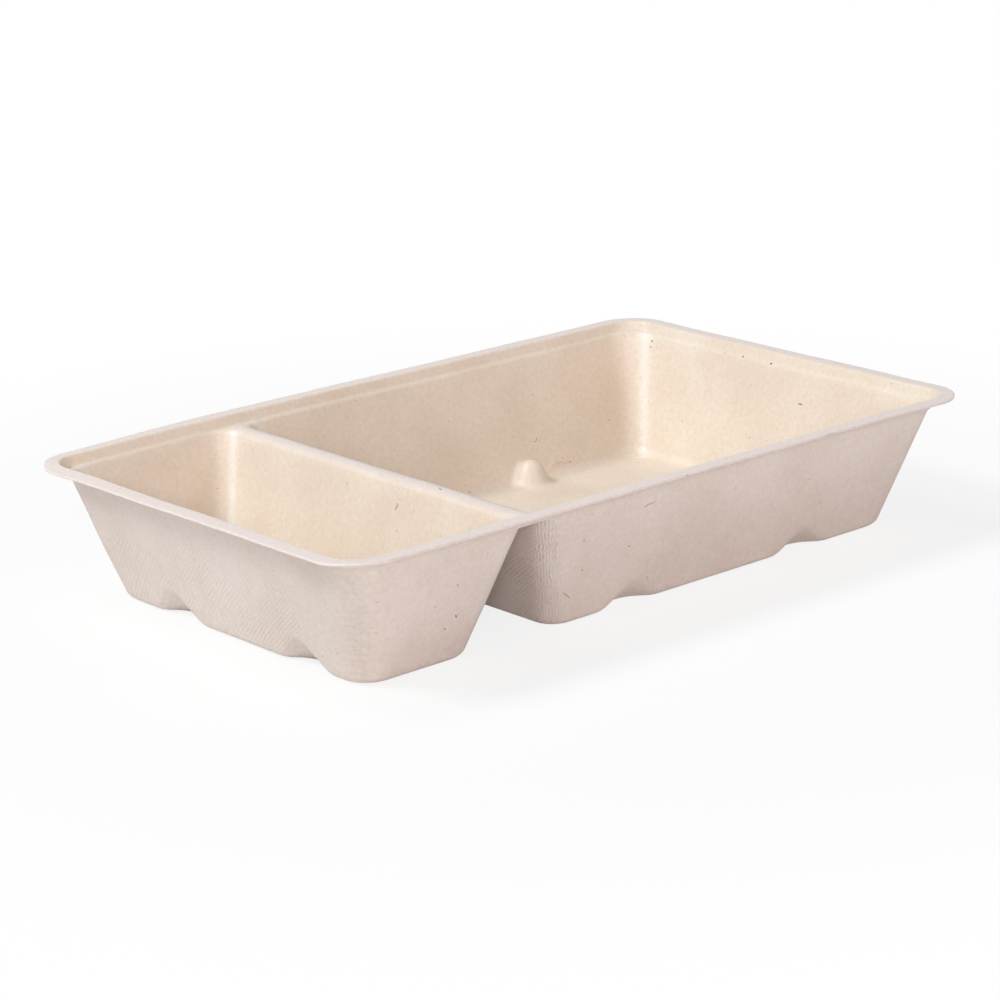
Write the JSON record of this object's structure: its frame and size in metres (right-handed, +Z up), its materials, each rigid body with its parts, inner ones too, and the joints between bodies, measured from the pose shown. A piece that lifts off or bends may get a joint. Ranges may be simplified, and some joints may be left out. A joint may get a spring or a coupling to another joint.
{
  "type": "two-compartment snack tray",
  "caption": "Shallow one-piece tray pressed from sugar-cane fibre, with a small and a large compartment, a flat rim with a lid ledge, and stacking lugs in its walls.",
  "frame": {"origin": "under the middle of the rim, at the level of the feet", "axes": "+X along the length from the small compartment to the large one, +Y across to the back, +Z up"},
  "size_m": [0.23, 0.14, 0.039],
  "materials": {
    "bagasse": "matte pressed sugar-cane fibre, smooth inside, fine screen weave outside, small brown fibres"
  },
  "bodies": {
    "root": {"tray": "bagasse"}
  },
  "joints": []
}
